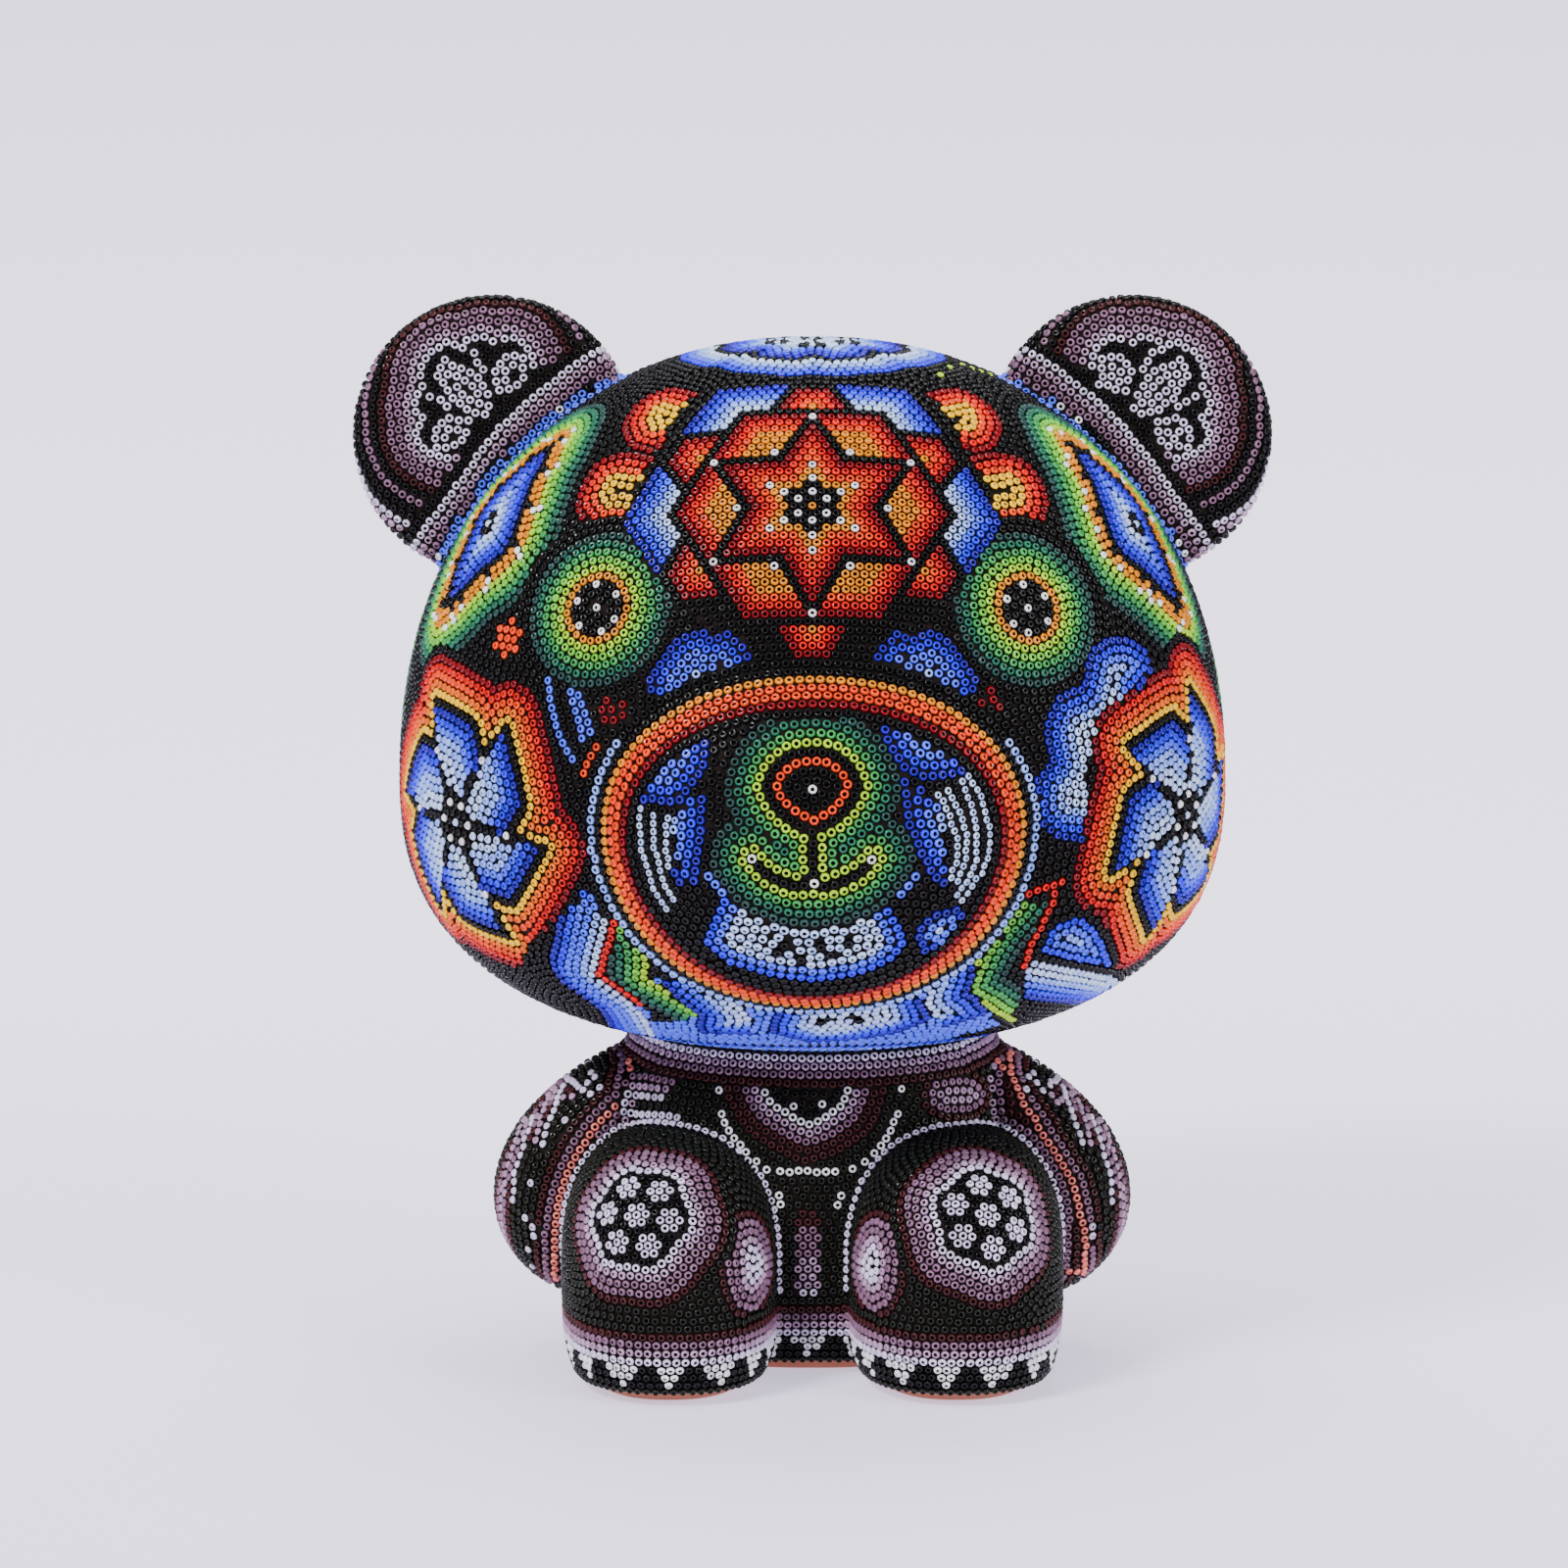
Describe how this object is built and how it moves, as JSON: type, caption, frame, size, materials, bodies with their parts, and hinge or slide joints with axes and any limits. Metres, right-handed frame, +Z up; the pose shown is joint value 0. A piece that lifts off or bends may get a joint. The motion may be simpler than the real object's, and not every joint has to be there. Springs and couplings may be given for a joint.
{
  "type": "beaded bear figure",
  "caption": "Seated bear figure on a hollow clay form, coated with beeswax and covered all over in small glass seed beads pressed in rows and flower patterns.",
  "frame": {"origin": "middle of the bounding box at the table surface, under the seated figure", "axes": "+Z up from the table, the face looks along -Y, +X to the right of a viewer who faces it"},
  "size_m": [0.22, 0.181, 0.2564],
  "materials": {
    "clay": "bare low-fired terracotta clay, matte",
    "beeswax": "dark brown beeswax with resin, satin",
    "glass_beads": "glossy opaque glass seed beads in many colours"
  },
  "bodies": {
    "root": {"head_clay": "clay", "head_wax": "beeswax", "head_beads": "glass_beads", "muzzle_clay": "clay", "muzzle_wax": "beeswax", "muzzle_beads": "glass_beads", "ear_left_clay": "clay", "ear_left_wax": "beeswax", "ear_left_beads": "glass_beads", "ear_right_clay": "clay", "ear_right_wax": "beeswax", "ear_right_beads": "glass_beads", "torso_clay": "clay", "torso_wax": "beeswax", "torso_beads": "glass_beads", "arm_left_clay": "clay", "arm_left_wax": "beeswax", "arm_left_beads": "glass_beads", "arm_right_clay": "clay", "arm_right_wax": "beeswax", "arm_right_beads": "glass_beads", "leg_left_clay": "clay", "leg_left_wax": "beeswax", "leg_left_beads": "glass_beads", "leg_right_clay": "clay", "leg_right_wax": "beeswax", "leg_right_beads": "glass_beads"}
  },
  "joints": []
}
